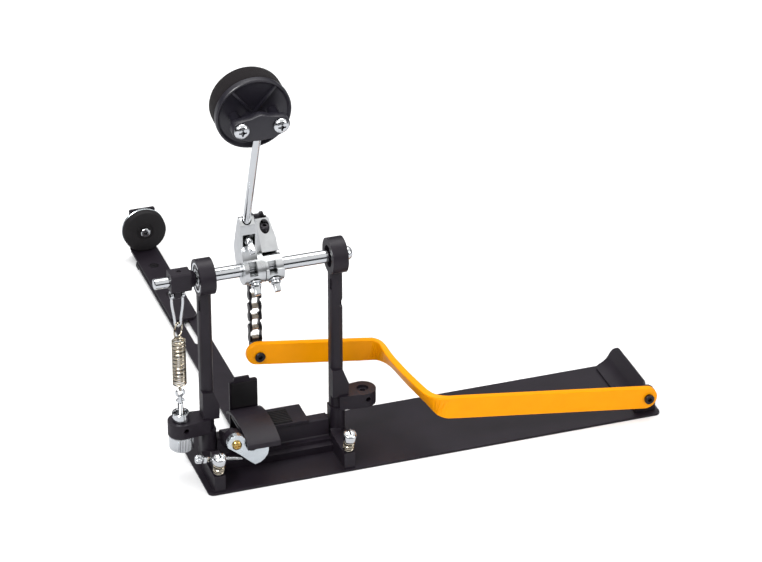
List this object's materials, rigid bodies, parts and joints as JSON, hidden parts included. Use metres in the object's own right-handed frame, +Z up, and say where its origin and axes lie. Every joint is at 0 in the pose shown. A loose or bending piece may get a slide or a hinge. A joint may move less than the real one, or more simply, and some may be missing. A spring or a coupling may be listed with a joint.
{
  "type": "chain-drive foot pedal for a cajon",
  "caption": "Side-lever chain-drive foot pedal: foot plate, orange cranked lever, chain and cam on a sprung shaft, foam beater, edge clamp, spurs and a sliding rear arm with grip disc.",
  "frame": {"origin": "centre of the foot plate's underside", "axes": "X along the foot plate from the spring side to the heel stop, Y across it towards the rear arm, Z up"},
  "size_m": [0.536, 0.5306, 0.4547],
  "materials": {
    "black_paint": "satin black powder coat",
    "orange_paint": "gloss orange-yellow paint",
    "chrome": "bright polished plating",
    "cast_alloy": "polished casting",
    "zinc": "bright zinc plated",
    "nickel_spring": "warm nickel wire",
    "brass": "polished",
    "dark_steel": "black oxide",
    "rubber": "moulded black",
    "plastic": "black moulded",
    "foam": "dense black foam"
  },
  "bodies": {
    "frame": {"base_plate": "black_paint", "heel_stop": "black_paint", "pivot_bracket": "black_paint", "lever_pivot_bolt": "dark_steel", "left_upright": "black_paint", "right_upright": "black_paint", "left_bearing": "chrome", "right_bearing": "chrome", "cross_beam": "black_paint", "platform_plate": "black_paint", "grip_pad": "rubber", "clamp_jaw": "black_paint", "jaw_pad": "rubber", "rocker_pivot_pin": "dark_steel", "hook_screw": "brass", "spring_eye_rod": "chrome", "spring_cup_nut": "chrome", "tension_spring": "nickel_spring", "left_spur_spring": "nickel_spring", "right_spur_spring": "nickel_spring", "arm_lower_bar": "black_paint", "arm_foot": "rubber"},
    "shaft": {"drive_shaft": "chrome", "shaft_end_cap": "chrome", "spring_rocker": "black_paint", "rocker_set_screw": "dark_steel", "rocker_pin": "dark_steel", "beater_clamp": "cast_alloy", "rod_key_bolt": "chrome", "beater_clamp_bolt": "chrome", "cam_clamp_bolt": "chrome", "chain_cam": "cast_alloy", "cam_cap_screw": "dark_steel", "chain_wrap": "dark_steel"},
    "beater": {"beater_rod": "chrome", "beater_hub": "plastic", "beater_foam": "foam", "beater_screw_left": "chrome", "beater_screw_right": "chrome"},
    "lever": {"lever_arm": "orange_paint", "lever_pivot_bush": "brass", "chain_bolt": "dark_steel"},
    "chain": {"chain_run": "dark_steel", "chain_anchor": "dark_steel"},
    "link_1": {"chain_link_1": "dark_steel"},
    "link_2": {"chain_link_2": "dark_steel"},
    "link_3": {"chain_link_3": "dark_steel"},
    "stirrup": {"spring_stirrup": "chrome"},
    "spring_nut": {"spring_thumb_nut": "chrome"},
    "hook": {"hook_lever": "zinc"},
    "clamp_screw": {"clamp_bolt": "chrome"},
    "rocker": {"clamp_rocker": "black_paint"},
    "left_spur": {"left_spur_screw": "chrome"},
    "right_spur": {"right_spur_screw": "chrome"},
    "arm": {"arm_upper_bar": "black_paint", "arm_clamp_strip": "dark_steel", "grip_disc": "rubber", "disc_plate": "zinc", "disc_screw": "chrome", "disc_nut": "dark_steel"}
  },
  "joints": [
    {"name": "shaft_turn", "type": "hinge", "parent": "frame", "child": "shaft", "pos_m": [-0.1645, 0.0015, 0.225], "axis": [-1, 0, 0], "range_deg": [0, 40], "stiffness_Nm_per_rad": 0.8, "springref_deg": -34.38},
    {"name": "lever_press", "type": "hinge", "parent": "frame", "child": "lever", "pos_m": [0.235, -0.053, 0.0228], "axis": [0, -1, 0], "range_deg": [0, 5.47]},
    {"name": "chain_drop", "type": "hinge", "parent": "frame", "child": "chain", "pos_m": [-1.12048, 0.0565, 0.20585], "axis": [0, 1, 0], "range_deg": [0, 2.31]},
    {"name": "link_1_unwind", "type": "hinge", "parent": "frame", "child": "link_1", "pos_m": [-0.1645, -0.27577, 0.20898], "axis": [-1, 0, 0], "range_deg": [0, 6.62]},
    {"name": "link_2_unwind", "type": "hinge", "parent": "frame", "child": "link_2", "pos_m": [-0.1645, -0.0538, 0.21533], "axis": [-1, 0, 0], "range_deg": [0, 19.85]},
    {"name": "link_3_unwind", "type": "hinge", "parent": "frame", "child": "link_3", "pos_m": [-0.1645, -0.00969, 0.22168], "axis": [-1, 0, 0], "range_deg": [0, 33.08]},
    {"name": "stirrup_swing", "type": "hinge", "parent": "frame", "child": "stirrup", "pos_m": [-0.262, -0.04546, 0.09597], "axis": [1, 0, 0], "range_deg": [0, 4.95], "deforming": ["tension_spring"]},
    {"name": "beater_height", "type": "slide", "parent": "shaft", "child": "beater", "axis": [0, -0.3502, 0.9367], "range_m": [-0.025, 0.015]},
    {"name": "spring_nut_turn", "type": "hinge", "parent": "frame", "child": "spring_nut", "pos_m": [-0.262, 0.0015, 0.036], "axis": [0, 0, 1], "continuous": true},
    {"name": "hook_swing", "type": "hinge", "parent": "frame", "child": "hook", "pos_m": [-0.215, -0.0375, 0.046], "axis": [0, 1, 0], "range_deg": [0, 12]},
    {"name": "clamp_screw_travel", "type": "slide", "parent": "frame", "child": "clamp_screw", "axis": [-0.9862, 0, 0.1654], "range_m": [0, 0.0045]},
    {"name": "rocker_tilt", "type": "hinge", "parent": "frame", "child": "rocker", "pos_m": [-0.187, 0.0035, 0.0455], "axis": [1, 0, 0], "range_deg": [0, 6]},
    {"name": "left_spur_travel", "type": "slide", "parent": "frame", "child": "left_spur", "axis": [0, -0.2756, 0.9613], "range_m": [-0.0024, 0.006], "deforming": ["left_spur_spring"]},
    {"name": "right_spur_travel", "type": "slide", "parent": "frame", "child": "right_spur", "axis": [0, -0.2756, 0.9613], "range_m": [-0.0024, 0.006], "deforming": ["right_spur_spring"]},
    {"name": "arm_reach", "type": "slide", "parent": "frame", "child": "arm", "axis": [0, 1, 0], "range_m": [-0.1, 0.005]}
  ],
  "couplings": [
    {"joint": "lever_press", "follows": "shaft_turn", "ratio": 0.13668},
    {"joint": "chain_drop", "follows": "shaft_turn", "ratio": 0.057681},
    {"joint": "link_1_unwind", "follows": "shaft_turn", "ratio": 0.16538},
    {"joint": "link_2_unwind", "follows": "shaft_turn", "ratio": 0.49613},
    {"joint": "link_3_unwind", "follows": "shaft_turn", "ratio": 0.82688},
    {"joint": "stirrup_swing", "follows": "shaft_turn", "ratio": 0.12365},
    {"joint": "clamp_screw_travel", "follows": "hook_swing", "m_per_rad": 0.020053},
    {"joint": "rocker_tilt", "follows": "hook_swing", "ratio": 0.5}
  ]
}
